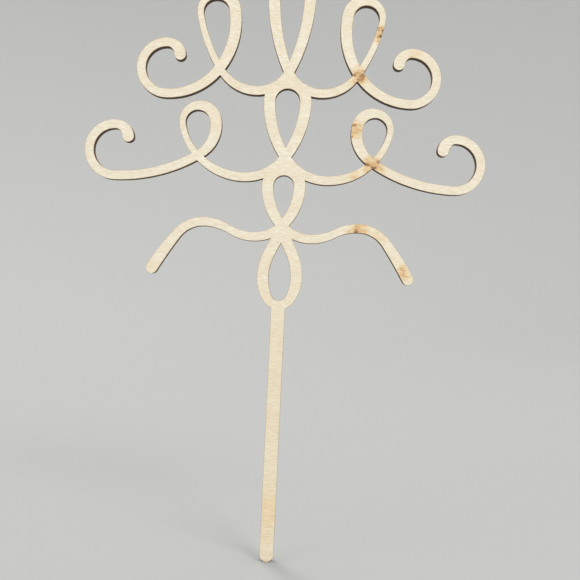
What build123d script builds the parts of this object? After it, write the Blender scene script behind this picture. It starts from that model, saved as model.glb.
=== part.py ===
"""Cake topper cut by laser from thin three-ply birch: looped ribbons in three tiers on a flat stake.

Millimetres. The sheet stands in the XZ plane with +Z up, and its thickness lies along Y about y = 0.
The origin is at the tip of the stake, the end that goes into the cake.
"""

import math
import os

from build123d import *

# Plywood sheet: two face veneers glued to a thicker core
sheet_thickness = 3.0
veneer_thickness = 0.85

# Stake
stake_width = 5.2
stake_length = 95.0

# Pen: falling strokes are thick, rising strokes are thin, by the upward part of a stroke's direction
thick_stroke = 4.3
thin_stroke = 2.4
thick_below = -0.6
thin_above = 0.6

# Drop loop between the stake and the lower tier: its widest place lies a little below its middle
drop_height = 27.0
drop_width = 12.6
drop_belly = 11.6
drop_overlap = 2.5
drop_heading = 245

# Lower tier: one loop, and on each side an arm that dips, rises to a crest and falls in a tail
lower_rise = 21.5
lower_loop_width = 12.0
arm_dip_place = 10.6
arm_dip = 0.6
arm_crest_place = 29.0
arm_crest = 4.2
tail_reach = 48.0
tail_fall = 14.0
tail_heading = -60

# Middle tier: a loop over the stake, a leaning loop on each side of it and a scroll at each end
middle_rise = 32.5
middle_loop_width = 13.5
middle_side_place = 28.5
middle_side_rise = 26.5
middle_side_width = 12.5
middle_lean = 12
middle_scroll_radius = 12.0
middle_scroll_drop = 1.5
middle_reach = 75.0

# Upper tier: the same with taller loops
upper_rise = 43.9
upper_loop_width = 13.5
upper_side_place = 22.0
upper_side_rise = 36.0
upper_side_width = 13.0
upper_lean = 11
upper_scroll_radius = 12.0
upper_scroll_drop = 2.5
upper_reach = 57.0

# Valley before every side loop, and inner end of every scroll
valley_shift = 1.2
valley_heading = 0
scroll_end_radius = 5.5
scroll_turn = 240
scroll_end_heading = 265

# Level ends of a half circle, to within rounding
level_tolerance = 1e-6

# Base line of each tier, and how far its middle loop reaches into the crossing of the tier above
lower_line = stake_length + drop_height
middle_line = lower_line + lower_rise
upper_line = middle_line + middle_rise
tie_overlap = 3.4


def unit(heading):
    """Direction of a heading in degrees."""
    return Vector(math.cos(math.radians(heading)), math.sin(math.radians(heading)))


def stroke_width(direction):
    """Width of the pen's stroke in one direction."""
    share = min(max((thin_above - direction.Y) / (thin_above - thick_below), 0.0), 1.0)
    return thin_stroke + (thick_stroke - thin_stroke) * share**2 * (3 - 2 * share)


def edge_arcs(start, end, side):
    """One edge of a span, half a stroke beside the pen's path: a half circle or two smooth arcs."""
    ends = []
    for x, z, heading in (start, end):
        along = unit(heading)
        ends.append(Vector(x, z) + Vector(-along.Y, along.X) * side * stroke_width(along) / 2)
    first, last = ends
    leave = unit(start[2])
    arrive = unit(end[2])
    chord = last - first
    if max(abs(chord.dot(leave)), abs(chord.dot(arrive))) < level_tolerance:
        return [TangentArc(first, last, tangent=leave)]
    ratio = ((chord.length + chord.dot(arrive)) / (chord.length + chord.dot(leave))) ** 2
    reach = chord.dot(leave) + ratio * chord.dot(arrive)
    bend = 2 * ratio * (1 - leave.dot(arrive))
    handle = chord.dot(chord) / (reach + math.sqrt(reach**2 + bend * chord.dot(chord)))
    first_corner = first + leave * handle
    last_corner = last - arrive * handle * ratio
    pass_by = last_corner - first_corner
    joint = first_corner + pass_by / (1 + ratio)
    return [TangentArc(first, joint, tangent=leave), TangentArc(joint, last, tangent=pass_by)]


def span_face(start, end, rounded=False):
    """Flat face of one span of the ribbon, square to the path at both ends or rounded at its far end."""
    left = edge_arcs(start, end, 1)
    right = edge_arcs(start, end, -1)
    foot = Line(left[0] @ 0, right[0] @ 0)
    head = Line(left[-1] @ 1, right[-1] @ 1)
    if rounded:
        head = TangentArc(left[-1] @ 1, right[-1] @ 1, tangent=unit(end[2]))
    return make_face([*left, head, *right, foot])


def loop(place, base, height, width, lean):
    """Knots of one loop with a half-round crown: its shoulders on the way up and on the way down."""
    centre = Vector(place, base) + unit(90 - lean) * (height - width / 2)
    out = unit(-lean) * width / 2
    up = centre + out
    down = centre - out
    return [(up.X, up.Y, 90 - lean), (down.X, down.Y, 270 - lean)]


def side_loop(place, base, height, width, lean):
    """Knots of the valley beside the stake and of the leaning loop that follows it."""
    return [(place / 2 + valley_shift, base, valley_heading), *loop(place, base, height, width, lean)]


def scroll(reach, base, radius):
    """Knots of a scroll that leaves the base line, turns back at its reach and winds inwards."""
    knots = []
    shrink = (radius - scroll_end_radius) / scroll_turn
    outer_edge = radius - shrink * 90 + stroke_width(unit(0)) / 2
    centre = Vector(reach - outer_edge, base + radius)
    for turned, heading in ((0, 0), (180, 180), (scroll_turn, scroll_end_heading)):
        place = centre + unit(turned - 90) * (radius - shrink * turned)
        knots.append((place.X, place.Y, heading))
    return knots


def ribbon(knots):
    """Faces of one ribbon and its mirror image, rounded where they end away from the middle line."""
    faces = []
    for sign in (1, -1):
        side = [(sign * x, z, heading if sign > 0 else 180 - heading) for x, z, heading in knots]
        faces += [span_face(start, end) for start, end in zip(side[:-2], side[1:-1])]
        faces.append(span_face(side[-2], side[-1], rounded=side[-1][0] != 0))
    return faces


def crown(base, height, width):
    """Half-round top of a loop over the stake, as thick as the falling strokes on both its sides."""
    ring = Circle((width + thick_stroke) / 2) - Circle((width - thick_stroke) / 2)
    upper_half = Rectangle(2 * width, width, align=(Align.CENTER, Align.MIN))
    return Pos(0, base + height - width / 2) * (ring & upper_half)


def tier(base, height, width, knots):
    """Faces of a loop over the stake and of the ribbons that go on from its shoulders through the knots."""
    left_shoulder = loop(0, base, height, width, 0)[1]
    return [crown(base, height, width), *ribbon([left_shoulder, *knots])]


def upper_tier():
    knots = side_loop(upper_side_place, upper_line, upper_side_rise, upper_side_width, upper_lean)
    knots += scroll(upper_reach, upper_line - upper_scroll_drop, upper_scroll_radius)
    return tier(upper_line, upper_rise, upper_loop_width, knots)


def middle_tier():
    knots = side_loop(middle_side_place, middle_line, middle_side_rise, middle_side_width, middle_lean)
    knots += scroll(middle_reach, middle_line - middle_scroll_drop, middle_scroll_radius)
    return tier(middle_line, middle_rise + tie_overlap, middle_loop_width, knots)


def lower_tier():
    dip = (arm_dip_place, lower_line - arm_dip, 0)
    crest = (arm_crest_place, lower_line + arm_crest, 0)
    tail = (tail_reach, lower_line - tail_fall, tail_heading)
    return tier(lower_line, lower_rise + tie_overlap, lower_loop_width, [dip, crest, tail])


def drop_loop():
    top = (0, lower_line + drop_overlap, drop_heading)
    side = (-drop_width / 2, stake_length + drop_belly, 270)
    foot = (0, stake_length + thin_stroke / 2, 0)
    return ribbon([top, side, foot])


def stake():
    """Faces of the stake: a round tip at the origin and a shaft up to the foot of the drop loop."""
    middle = Pos(0, stake_width / 2)
    shaft_length = stake_length + thin_stroke / 2 - stake_width / 2
    shaft = Rectangle(stake_width, shaft_length, align=(Align.CENTER, Align.MIN))
    return [middle * shaft, middle * Circle(stake_width / 2)]


# Outline of the whole topper, with x across and z up the sheet
outline = Sketch() + [*upper_tier(), *middle_tier(), *lower_tier(), *drop_loop(), *stake()]

# Plies from the back, at -Y, to the front
core_thickness = sheet_thickness - 2 * veneer_thickness
plies = {
    "back_veneer": veneer_thickness,
    "core_veneer": core_thickness,
    "front_veneer": veneer_thickness,
}

os.makedirs("parts", exist_ok=True)
back_side = -sheet_thickness / 2
for name, thickness in plies.items():
    ply = extrude(Plane.XZ.offset(-back_side) * outline, -thickness)
    export_step(ply, f"parts/{name}.step")
    back_side += thickness
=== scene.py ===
import math

import bmesh
import bpy
import numpy as np
from mathutils import Color, Matrix, Vector
from mathutils.geometry import delaunay_2d_cdt


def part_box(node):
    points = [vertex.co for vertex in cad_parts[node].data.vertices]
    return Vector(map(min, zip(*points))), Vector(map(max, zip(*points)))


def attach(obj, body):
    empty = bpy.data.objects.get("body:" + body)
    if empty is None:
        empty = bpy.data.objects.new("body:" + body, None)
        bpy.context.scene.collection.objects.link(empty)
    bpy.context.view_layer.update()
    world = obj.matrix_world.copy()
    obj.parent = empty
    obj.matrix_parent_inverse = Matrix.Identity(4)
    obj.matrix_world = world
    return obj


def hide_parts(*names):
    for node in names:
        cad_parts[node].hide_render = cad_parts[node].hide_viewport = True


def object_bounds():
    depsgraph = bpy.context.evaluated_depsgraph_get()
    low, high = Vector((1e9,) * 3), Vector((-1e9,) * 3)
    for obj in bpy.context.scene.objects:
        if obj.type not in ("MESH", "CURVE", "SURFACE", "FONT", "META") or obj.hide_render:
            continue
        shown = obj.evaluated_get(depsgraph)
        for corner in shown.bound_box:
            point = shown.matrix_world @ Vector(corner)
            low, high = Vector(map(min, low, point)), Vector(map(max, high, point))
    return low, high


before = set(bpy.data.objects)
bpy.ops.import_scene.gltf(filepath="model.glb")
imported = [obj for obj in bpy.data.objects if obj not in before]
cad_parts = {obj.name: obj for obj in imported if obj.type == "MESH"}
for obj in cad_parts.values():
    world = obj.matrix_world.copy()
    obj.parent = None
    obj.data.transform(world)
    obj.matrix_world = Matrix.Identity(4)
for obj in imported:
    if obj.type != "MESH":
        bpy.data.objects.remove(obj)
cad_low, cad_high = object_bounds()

# Laser-cut plywood topper standing on its stake, with its thickness along Y and its scorched back at -Y.
# Lengths are in metres. Places in the finish are in mm.
MM = 0.001

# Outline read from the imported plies: points closer than WELD are one, a turn over CORNER is a sharp corner,
# and a step STRAIGHT times as long as its neighbour is a straight line
WELD = 1e-6
CORNER = math.radians(25)
STRAIGHT = 2.5
SPACING = 0.5 * MM
MITRE_LIMIT = 2.0

# Meshes of the plies: tolerance of their flat triangles, in mm, and least angle of an edge shaded sharp
FILL_TOLERANCE = 1e-6
CREASE = math.radians(50)

# Cut edge: ripple left by the laser, and the steps from the wall over the burnt arris to the flat face.
# Each step gives the inset from the CAD wall, the depth under the face and how burnt the wood is there.
RIPPLE = 0.012 * MM
RIPPLE_SEED = 3
ARRIS = [
    (0.000 * MM, 0.30 * MM, 1.00),
    (0.000 * MM, 0.12 * MM, 0.94),
    (0.015 * MM, 0.05 * MM, 0.80),
    (0.055 * MM, 0.012 * MM, 0.36),
    (0.110 * MM, 0.0, 0.10),
]

# Rings of the flat face: inset and how burnt the wood is there. The cut edge tones the face up to EDGE_REACH.
FACE_RINGS = [(0.20 * MM, 0.02), (0.50 * MM, 0.0), (1.00 * MM, 0.0)]
EDGE_REACH = 1.00 * MM

# Wall at the glue films: depth of the groove along each of them, how far it slopes up each ply, and how far
# the core is burnt back
GLUE_GROOVE = 0.03 * MM
GROOVE_SLOPE = 0.06 * MM
CORE_RECESS = 0.02 * MM

# Noises of the finish: features per mm along X, Y and Z, detail and roughness
NOISE = {
    "bands": ((0.018, 0.30, 0.22), 3.0, 0.55),
    "fibres": ((0.40, 0.50, 3.20), 4.0, 0.65),
    "mottle": ((0.70, 0.80, 1.20), 3.0, 0.60),
    "pores": ((0.55, 0.80, 6.50), 2.0, 0.55),
    "cloud": ((0.10, 0.10, 0.16), 2.0, 0.55),
    "toast": ((0.07, 0.07, 0.07), 2.0, 0.55),
    "smoke": ((0.40, 0.50, 0.70), 5.0, 0.65),
    "spots": ((0.45, 0.50, 0.60), 4.0, 0.60),
    "grit": ((1.60, 1.60, 1.60), 3.0, 0.55),
    "laser_lines": ((5.50, 0.35, 5.50), 2.0, 0.50),
}

# Spans of the finish: two limits of a value and the shares at them. The stake's limits are heights, and those
# of the glue are distances from a joint, in mm. The others are limits of a noise or of another share.
SPAN = {
    "stake": (70.0, 125.0, 0.60, 0.0),
    "mottle": (0.38, 0.68, 0.0, 0.50),
    "pores": (0.60, 0.72, 0.0, 0.30),
    "pits": (0.60, 0.72, 0.0, -0.50),
    "cloud": (0.52, 0.72, 0.0, 0.30),
    "toast": (0.50, 0.66, 0.0, 0.30),
    "spots": (0.44, 0.64, 0.0, 1.0),
    "core_by_edge": (0.0, 1.0, 0.45, 1.40),
    "core_in_wash": (0.45, 0.90, 0.0, 0.70),
    "scorch": (0.0, 0.25, 0.0, 1.0),
    "grit": (0.25, 0.75, -0.10, 0.10),
    "char": (0.02, 0.42, 0.0, 1.0),
    "laser_lines": (0.50, 0.75, 0.0, 0.45),
    "glue": (0.014, 0.056, 0.85, 0.0),
    "roughness": (0.10, 0.80, 0.62, 0.92),
}

# Wood: where on their noises the bands and fibres turn light or dark, how much the fibres show, how the
# toasted tone fades from the cut edge, and the relief and shine
EARLY_BAND = 0.25
LATE_BAND = 0.75
DARK_FIBRE = 0.34
PALE_FIBRE = 0.60
STREAK_SHARE = 0.75
TOAST_FADE = 1.5
LINE_RELIEF = 1.5
BUMP_STRENGTH = 0.35
BUMP_DEPTH = 0.05 * MM
SHINE = 0.3

# Tints of the wood and of its burnt wall, in sRGB
BACK_TINT = {
    "early": (248, 242, 226),
    "late": (241, 231, 209),
    "stake": (235, 221, 193),
    "dark_fibre": (226, 216, 199),
    "pale_fibre": (255, 255, 255),
    "mottle": (231, 217, 189),
    "pores": (202, 178, 142),
    "cloud": (234, 218, 187),
    "toast": (222, 190, 142),
    "char": (112, 97, 82),
    "laser_lines": (136, 110, 84),
    "glue": (42, 35, 29),
}
FRONT_TINT = dict(BACK_TINT, early=(243, 234, 214), late=(236, 223, 197), stake=(234, 220, 193))
CORE_TINT = dict(BACK_TINT, early=(214, 190, 150), late=(198, 170, 128), char=(72, 64, 56))

# Tones of a scorch by its strength, and of a wall by how burnt it is, up to the tint of its char
SCORCH_TONES = [
    (0.0, (243, 226, 192)),
    (0.25, (236, 209, 166)),
    (0.45, (217, 179, 132)),
    (0.70, (164, 122, 85)),
    (1.0, (98, 75, 57)),
]
CHAR_TONES = [
    (0.10, (222, 196, 154)),
    (0.40, (176, 138, 96)),
    (0.72, (118, 94, 72)),
]

# Scorch marks on the back, in mm: x, z, radius and strength
SCORCHES = [
    (25.5, 163.0, 3.6, 1.05),
    (33.0, 149.5, 4.2, 1.15),
    (26.3, 146.3, 2.8, 0.70),
    (28.8, 125.6, 3.6, 1.20),
    (36.3, 123.2, 3.0, 0.55),
    (46.0, 110.5, 3.3, 0.95),
    (26.3, 183.0, 3.8, 1.05),
    (33.5, 199.0, 3.4, 1.10),
    (46.5, 191.8, 3.2, 0.55),
]
STAKE_STAIN = (0.0, 18.0, 11.0, 0.45)

# Wash of a scorch, in radii of its mark. The smoke draws places nearer by up to SMOKE_DRIFT. By this drifted
# distance the wash is full at WASH_FULL and gone at WASH_END, and WASH_SHARE of it counts as scorch.
SMOKE_DRIFT = 2.0
WASH_FULL = -1.10
WASH_END = 0.75
WASH_SHARE = 0.40

# Stage: a round floor whose hub is a fan of triangles, a quarter-round bend and a wall
STAGE_RADIUS = 3.2
STAGE_WALL = 2.0
STAGE_BEND = 1.9
STAGE_HUB = 0.02
STAGE_SIDES = 96
BEND_STEPS = 9
FLOOR_COLOUR = (159, 159, 157)
FLOOR_ROUGHNESS = 0.9
FLOOR_SHINE = 0.1

# Soft square lights, all aimed at the middle of the topper: place, power and colour
LIGHT_SIZE = 1.6
LIGHT_AIM = (0.0, 0.0, 0.11)
LIGHTS = {
    "key": ((1.8, -2.6, 2.6), 82.0, (1.0, 0.985, 0.965)),
    "fill": ((-2.2, -1.9, 1.5), 20.0, (0.95, 0.97, 1.0)),
    "back": ((-1.6, 2.7, 3.2), 84.0, (1.0, 0.98, 0.95)),
}
SKY_COLOUR = (236, 238, 240)
SKY_STRENGTH = 1.54

# Camera of the photograph, square to the back, with the tip of the stake at TIP_PX of its 580 px frame
FRAME_PX = 580
FOCAL_PX = 762
PX = 0.374 * MM
TIP_PX = (266, 562)
ROLL = math.radians(2.7)
NEAR_CLIP = 0.01


def linear(colour):
    """Scene-linear colour of an sRGB colour given in 0 to 255."""
    return (*Color([value / 255 for value in colour]).from_srgb_to_scene_linear(), 1.0)


def added(name, data):
    """A new object in the scene."""
    made = bpy.data.objects.new(name, data)
    bpy.context.scene.collection.objects.link(made)
    return made


def flat_loops(node):
    """Closed outlines of a ply's side at its lowest y: arrays of (x, z) with the wood on their left."""
    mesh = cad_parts[node].data
    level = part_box(node)[0].y
    places = {}
    edges = {}
    for polygon in mesh.polygons:
        corners = [mesh.vertices[index].co for index in polygon.vertices]
        if max(corner.y for corner in corners) - level < WELD:
            keys = [(round(corner.x / WELD), round(corner.z / WELD)) for corner in corners]
            places.update(zip(keys, [(corner.x, corner.z) for corner in corners]))
            edges.update(dict.fromkeys(zip(keys, keys[1:] + keys[:1])))
    following = {start: end for start, end in edges if (end, start) not in edges}
    loops = []
    while following:
        start, here = following.popitem()
        keys = [start]
        while here != start:
            keys.append(here)
            here = following.pop(here)
        loops.append(np.array([places[key] for key in keys]))
    return loops


def unit(vectors):
    """The directions of an array of vectors."""
    return vectors / np.linalg.norm(vectors, axis=1, keepdims=True)


def turns(points):
    """Steps to and from each point of a loop, and the angle that the loop turns there."""
    ahead = np.roll(points, -1, 0) - points
    back = np.roll(ahead, 1, 0)
    cross = back[:, 0] * ahead[:, 1] - back[:, 1] * ahead[:, 0]
    return back, ahead, np.arctan2(cross, (back * ahead).sum(1))


def resampled(points):
    """The same loop as a smooth curve through its points, divided evenly between them."""
    back, ahead, turn = turns(points)
    reach_back = np.linalg.norm(back, axis=1, keepdims=True)
    reach = np.linalg.norm(ahead, axis=1, keepdims=True)
    slope = (ahead / reach * reach_back + back / reach_back * reach) / (reach + reach_back)
    sharp = np.abs(turn)[:, None] > CORNER
    leave = np.where(sharp | (reach > STRAIGHT * reach_back), ahead / reach, slope) * reach
    arrive = np.where(sharp | (reach_back > STRAIGHT * reach), back / reach_back, slope)
    arrive = np.roll(arrive, -1, 0) * reach
    steps = zip(points, np.roll(points, -1, 0), leave, arrive, reach[:, 0])
    fine = []
    for start, end, first, last, length in steps:
        count = max(1, round(length / SPACING))
        t = np.arange(count)[:, None] / count
        fine.append(
            start * (1 + 2 * t) * (1 - t) ** 2
            + first * t * (1 - t) ** 2
            + end * t**2 * (3 - 2 * t)
            + last * t**2 * (t - 1)
        )
    return np.concatenate(fine)


def inward(points):
    """Directions into the wood at a loop's points, longer at its corners so that offsets stay even."""
    back, ahead, turn = turns(points)
    along = unit(unit(back) + unit(ahead))
    mitre = np.minimum(1 / np.cos(turn / 2), MITRE_LIMIT)
    return np.stack([-along[:, 1], along[:, 0]], 1) * mitre[:, None]


# Outline of the topper, with all its loops end to end
loops = [resampled(points) for points in flat_loops("back_veneer")]
outline = np.concatenate(loops)
normals = np.concatenate([inward(points) for points in loops])
ripple = np.random.default_rng(RIPPLE_SEED).normal(0, RIPPLE, len(outline)).clip(0)
loop_starts = np.cumsum([0] + [len(points) for points in loops])
next_point = np.concatenate([
    start + np.roll(np.arange(len(points)), -1)
    for start, points in zip(loop_starts, loops)
])
outline_edges = list(enumerate(next_point.tolist()))


def ring(inset):
    """The outline moved into the wood."""
    return outline + normals * (inset + ripple)[:, None]


def inside(points, border):
    """Whether points lie in the wood, by the count of border edges to their right."""
    found = np.zeros(len(points), int)
    for start, end in zip(border, border[next_point]):
        rising = (start[1] > points[:, 1]) != (end[1] > points[:, 1])
        share = (points[:, 1] - start[1]) / (end[1] - start[1] or 1)
        found += rising & (points[:, 0] < start[0] + share * (end[0] - start[0]))
    return found % 2 == 1


def filled(rings):
    """Triangles that fill the wood within the first ring, as indices into the rings end to end."""
    points = np.concatenate(rings)
    places = [Vector(point) for point in points / MM]
    whole_hull = 0
    found = delaunay_2d_cdt(places, outline_edges, [], whole_hull, FILL_TOLERANCE)
    _, _, faces, sources, _, _ = found
    triangles = np.array([[sources[corner][0] for corner in face] for face in faces])
    kept = (triangles >= len(outline)).any(1)
    rest = np.flatnonzero(~kept)
    kept[rest] = inside(points[triangles[rest]].mean(1), rings[0])
    return triangles[kept]


def solid(name, rows, face_rings, burn):
    """Closed mesh with a wall through the rows, a plain end at the first and face rings within the last.

    A row is an inset and a y. The face rings are insets on the last row's level. burn has a share for each
    row and face ring.
    """
    count = len(outline)
    last = len(rows) - 1
    insets = [inset for inset, _ in rows] + face_rings
    levels = [y for _, y in rows] + [rows[last][1]] * len(face_rings)
    rings = [ring(inset) for inset in insets]
    points = [(x, y, z) for flat, y in zip(rings, levels) for x, z in flat]
    faces = filled(rings[:1]).tolist()
    for row in range(last):
        low, high = row * count, (row + 1) * count
        faces += [(low + here, low + after, high + after, high + here) for here, after in outline_edges]
    faces += (filled(rings[last:]) + last * count).tolist()
    mesh = bpy.data.meshes.new(name)
    mesh.from_pydata(points, [], faces)
    for label, shares in {"burn": burn, "edge": 1 - np.array(insets) / EDGE_REACH}.items():
        attribute = mesh.attributes.new(label, "FLOAT", "POINT")
        attribute.data.foreach_set("value", np.repeat(shares, count).astype(np.float32))
    work = bmesh.new()
    work.from_mesh(mesh)
    bmesh.ops.recalc_face_normals(work, faces=work.faces)
    work.to_mesh(mesh)
    work.free()
    mesh.polygons.foreach_set("use_smooth", [True] * len(mesh.polygons))
    mesh.set_sharp_from_angle(angle=CREASE)
    return added(name, mesh)


def face_ply(name, node, outward):
    """A face veneer with its glue groove, burnt wall, worn arris and flat face.

    outward is -1 at the back and 1 at the front.
    """
    low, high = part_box(node)
    face = low.y if outward < 0 else high.y
    joint = high.y if outward < 0 else low.y
    rows = [(GLUE_GROOVE, joint), (0.0, joint + outward * GROOVE_SLOPE)]
    rows += [(inset, face - outward * depth) for inset, depth, _ in ARRIS]
    burn = [1.0, 1.0] + [share for _, _, share in ARRIS] + [share for _, share in FACE_RINGS]
    return solid(name, rows, [inset for inset, _ in FACE_RINGS], burn)


def core_ply(name, node):
    """The core veneer, burnt back a little further than the faces."""
    low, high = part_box(node)
    middle = (low.y + high.y) / 2
    rows = [
        (GLUE_GROOVE, low.y),
        (CORE_RECESS, low.y + GROOVE_SLOPE),
        (CORE_RECESS + RIPPLE, middle),
        (CORE_RECESS, high.y - GROOVE_SLOPE),
        (GLUE_GROOVE, high.y),
    ]
    return solid(name, rows, [], [1.0] * len(rows))


class Shader:
    """Nodes of a wood material, made one by one and linked by their sockets. Its places are in mm."""

    # Sockets of the mix node that are for colours
    MIX_FIRST = 6
    MIX_SECOND = 7
    MIX_RESULT = 2

    def __init__(self, name):
        self.material = bpy.data.materials.new(name)
        self.material.use_nodes = True
        self.tree = self.material.node_tree
        self.tree.nodes.clear()
        self.noises = {}
        metres = self.node("ShaderNodeTexCoord", output="Object")
        self.place = self.node("ShaderNodeVectorMath", {0: metres, 1: (1 / MM,) * 3}, operation="MULTIPLY")

    def node(self, kind, inputs=None, output=0, **settings):
        """Adds a node, sets or links its inputs and gives one of its outputs."""
        made = self.tree.nodes.new(kind)
        for key, value in settings.items():
            setattr(made, key, value)
        for key, value in (inputs or {}).items():
            if isinstance(value, bpy.types.NodeSocket):
                self.tree.links.new(value, made.inputs[key])
            else:
                made.inputs[key].default_value = value
        return made.outputs[output]

    def finished(self, surface):
        """The material, with a surface linked to its output."""
        output = self.tree.nodes.new("ShaderNodeOutputMaterial")
        self.tree.links.new(surface, output.inputs["Surface"])
        return self.material

    def attribute(self, name):
        """A share that is stored at the points of the mesh."""
        return self.node("ShaderNodeAttribute", output="Fac", attribute_name=name)

    def axis(self, letter):
        """The X, Y or Z of the place."""
        return self.node("ShaderNodeSeparateXYZ", {"Vector": self.place}, letter)

    def math(self, operation, *values):
        """The result of one operation on numbers."""
        return self.node("ShaderNodeMath", dict(enumerate(values)), operation=operation)

    def mix(self, share, first, second, blend="MIX"):
        """A colour with a share of a second one, which is a socket or an sRGB colour."""
        if isinstance(second, tuple):
            second = linear(second)
        made = {"Factor": share, self.MIX_FIRST: first, self.MIX_SECOND: second}
        return self.node("ShaderNodeMix", made, self.MIX_RESULT, data_type="RGBA", blend_type=blend)

    def ramp(self, share, stops):
        """Colour by a share from 0 to 1. A stop is a place and an sRGB colour."""
        made = self.node("ShaderNodeValToRGB", {"Fac": share})
        elements = made.node.color_ramp.elements
        for number, (place, colour) in enumerate(stops):
            element = elements[number] if number < len(elements) else elements.new(place)
            element.position = place
            element.color = linear(colour)
        return made

    def span(self, value, low, high, first, last):
        """A value between two limits as a share, eased at both ends."""
        made = {"Value": value, "From Min": low, "From Max": high, "To Min": first, "To Max": last}
        return self.node("ShaderNodeMapRange", made, interpolation_type="SMOOTHSTEP")

    def noise(self, name):
        """One of the noises of the finish, made once."""
        if name not in self.noises:
            stretch, detail, roughness = NOISE[name]
            scaled = self.node("ShaderNodeVectorMath", {0: self.place, 1: stretch}, operation="MULTIPLY")
            made = {"Vector": scaled, "Scale": 1.0, "Detail": detail, "Roughness": roughness}
            self.noises[name] = self.node("ShaderNodeTexNoise", made)
        return self.noises[name]

    def patches(self, name):
        """The share by which a noise shows, from the span of the same name."""
        return self.span(self.noise(name), *SPAN[name])


def plain_wood(shader, tint, streaks, edge):
    """Colour of the wood: bands, a warmer stake, fibres, patches of other tones and a toasted rim."""
    wood = shader.ramp(shader.noise("bands"), [(EARLY_BAND, tint["early"]), (LATE_BAND, tint["late"])])
    wood = shader.mix(shader.span(shader.axis("Z"), *SPAN["stake"]), wood, tint["stake"])
    wood = shader.mix(STREAK_SHARE, wood, streaks, "MULTIPLY")
    for name in ("mottle", "pores", "cloud"):
        wood = shader.mix(shader.patches(name), wood, tint[name])
    toast = shader.math("MULTIPLY", shader.patches("toast"), shader.math("POWER", edge, TOAST_FADE))
    return shader.mix(toast, wood, tint["toast"])


def scorched(shader, edge, marks):
    """How scorched the face is: a soft wash round each mark, with cores mostly by the cut edge."""
    wash = 0.0
    for x, z, radius, strength in marks:
        ends = {0: shader.place, 1: (x, 0, z)}
        away = shader.node("ShaderNodeVectorMath", ends, "Value", operation="DISTANCE")
        drifted = shader.math("MULTIPLY_ADD", shader.noise("smoke"), -SMOKE_DRIFT * radius, away)
        share = shader.span(drifted, WASH_FULL * radius, WASH_END * radius, strength, 0.0)
        wash = shader.math("MAXIMUM", wash, share)
    core = shader.math("MULTIPLY", shader.patches("spots"), shader.span(edge, *SPAN["core_by_edge"]))
    core = shader.math("MULTIPLY", core, shader.span(wash, *SPAN["core_in_wash"]))
    return shader.math("MULTIPLY_ADD", wash, WASH_SHARE, core)


def charred(shader, tint, burn):
    """Colour of the cut wall: darker the more it is burnt, with laser lines and dark glue films."""
    char = shader.ramp(burn, CHAR_TONES + [(1.0, tint["char"])])
    char = shader.mix(shader.patches("laser_lines"), char, tint["laser_lines"])
    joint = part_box("core_veneer")[1].y / MM
    from_middle = shader.math("ABSOLUTE", shader.axis("Y"))
    from_joint = shader.math("ABSOLUTE", shader.math("SUBTRACT", from_middle, joint))
    glue = shader.math("MULTIPLY", shader.span(from_joint, *SPAN["glue"]), burn)
    return shader.mix(glue, char, tint["glue"])


def relief(shader, burn):
    """Height of the fibres, of the pits at the pores and, where it is burnt, of the laser lines."""
    pits = shader.span(shader.noise("pores"), *SPAN["pits"])
    grain = shader.math("ADD", pits, shader.noise("fibres"))
    lines = shader.math("MULTIPLY", shader.noise("laser_lines"), burn)
    return shader.math("MULTIPLY_ADD", lines, LINE_RELIEF, grain)


def birch(name, tint, marks):
    """Birch veneer with its grain along X, scorched at the marks and burnt where the laser cut it."""
    shader = Shader(name)
    edge = shader.attribute("edge")
    burn = shader.math("ADD", shader.attribute("burn"), shader.patches("grit"))
    fibres = [(DARK_FIBRE, tint["dark_fibre"]), (PALE_FIBRE, tint["pale_fibre"])]
    streaks = shader.ramp(shader.noise("fibres"), fibres)
    wood = plain_wood(shader, tint, streaks, edge)
    if marks:
        scorch = scorched(shader, edge, marks)
        tone = shader.mix(STREAK_SHARE, shader.ramp(scorch, SCORCH_TONES), streaks, "MULTIPLY")
        wood = shader.mix(shader.span(scorch, *SPAN["scorch"]), wood, tone)
    bump = {"Strength": BUMP_STRENGTH, "Distance": BUMP_DEPTH, "Height": relief(shader, burn)}
    surface = shader.node("ShaderNodeBsdfPrincipled", {
        "Base Color": shader.mix(shader.span(burn, *SPAN["char"]), wood, charred(shader, tint, burn)),
        "Roughness": shader.span(burn, *SPAN["roughness"]),
        "Specular IOR Level": SHINE,
        "Normal": shader.node("ShaderNodeBump", bump),
    })
    return shader.finished(surface)


# Plies: mesh, slot and material
plies = {
    "back_veneer": (
        face_ply("back_veneer_birch", "back_veneer", -1),
        "birch_face",
        birch("back_birch", BACK_TINT, SCORCHES + [STAKE_STAIN]),
    ),
    "core_veneer": (
        core_ply("core_veneer_birch", "core_veneer"),
        "birch_core",
        birch("core_birch", CORE_TINT, []),
    ),
    "front_veneer": (
        face_ply("front_veneer_birch", "front_veneer", 1),
        "birch_face",
        birch("front_birch", FRONT_TINT, []),
    ),
}
for node, (piece, slot, material) in plies.items():
    piece.data.materials.append(material)
    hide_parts(node)
    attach(piece, "root")


def stage_profile():
    """Radius and height of the stage: a level floor that bends up into a wall."""
    foot = STAGE_RADIUS - STAGE_BEND
    bend = [math.pi / 2 * step / BEND_STEPS for step in range(BEND_STEPS + 1)]
    curve = [(foot + STAGE_BEND * math.sin(a), STAGE_BEND * (1 - math.cos(a))) for a in bend]
    return [(STAGE_HUB, 0.0), (foot / 2, 0.0)] + curve + [(STAGE_RADIUS, STAGE_WALL)]


def pale_floor():
    """Matt grey of the stage."""
    material = bpy.data.materials.new("pale_floor")
    material.use_nodes = True
    inputs = material.node_tree.nodes["Principled BSDF"].inputs
    inputs["Base Color"].default_value = linear(FLOOR_COLOUR)
    inputs["Roughness"].default_value = FLOOR_ROUGHNESS
    inputs["Specular IOR Level"].default_value = FLOOR_SHINE
    return material


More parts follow.
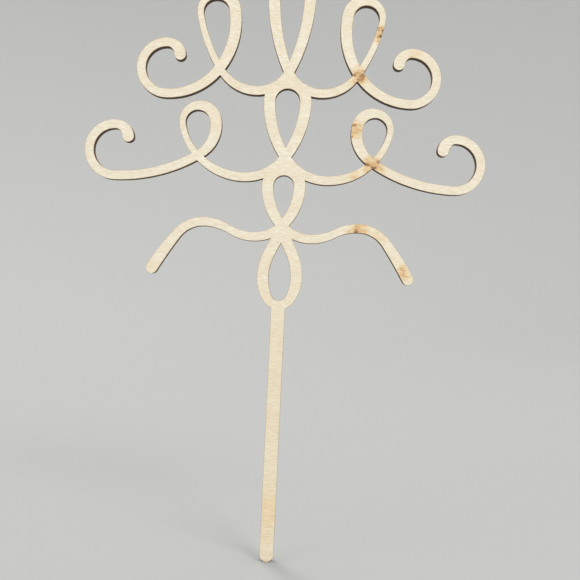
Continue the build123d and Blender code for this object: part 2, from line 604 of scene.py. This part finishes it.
def pale_stage():
    """A round pale floor with a wall all round, open above."""
    profile = stage_profile()
    turn = 2 * math.pi / STAGE_SIDES
    sides = range(STAGE_SIDES)
    points = [(0.0, 0.0, 0.0)]
    for radius, height in profile:
        points += [(radius * math.cos(turn * side), radius * math.sin(turn * side), height) for side in sides]
    faces = [(0, 1 + side, 1 + (side + 1) % STAGE_SIDES) for side in sides]
    for row in range(len(profile) - 1):
        low, high = 1 + row * STAGE_SIDES, 1 + (row + 1) * STAGE_SIDES
        for side in sides:
            after = (side + 1) % STAGE_SIDES
            faces.append((low + side, high + side, high + after, low + after))
    mesh = bpy.data.meshes.new("stage")
    mesh.from_pydata(points, [], faces)
    mesh.polygons.foreach_set("use_smooth", [True] * len(mesh.polygons))
    mesh.materials.append(pale_floor())
    stage = added("stage", mesh)


def soft_light(name, place, power, colour):
    """A square area light at a place, pointed at the middle of the topper."""
    light = bpy.data.lights.new(name, "AREA")
    light.shape = "SQUARE"
    light.size = LIGHT_SIZE
    light.energy = power
    light.color = colour
    lamp = added(name, light)
    lamp.location = place
    lamp.rotation_euler = (Vector(LIGHT_AIM) - Vector(place)).to_track_quat("-Z", "Y").to_euler()


def studio():
    """Soft key from the upper right, a weak fill from the left, a light behind and an even pale sky."""
    for name, (place, power, colour) in LIGHTS.items():
        soft_light(name, place, power, colour)
    world = bpy.data.worlds.new("sky")
    world.use_nodes = True
    inputs = world.node_tree.nodes["Background"].inputs
    inputs["Color"].default_value = linear(SKY_COLOUR)
    inputs["Strength"].default_value = SKY_STRENGTH
    bpy.context.scene.world = world
    bpy.context.scene.view_settings.view_transform = "Standard"


def photo_camera():
    """The photograph's camera: square to the back face, over the middle of its frame."""
    across = Vector((math.cos(ROLL), 0, math.sin(ROLL)))
    up = Vector((-math.sin(ROLL), 0, math.cos(ROLL)))
    toward = Vector((0, -1, 0))
    middle = PX * ((FRAME_PX / 2 - TIP_PX[0]) * across + (TIP_PX[1] - FRAME_PX / 2) * up)
    place = middle + toward * (FOCAL_PX * PX - cad_low.y)
    lens = bpy.data.cameras.new("camera")
    lens.lens = lens.sensor_width * FOCAL_PX / FRAME_PX
    lens.clip_start = NEAR_CLIP
    camera = added("camera", lens)
    camera.matrix_world = Matrix.Translation(place) @ Matrix((across, up, toward)).transposed().to_4x4()
    bpy.context.scene.camera = camera


pale_stage()
studio()
photo_camera()
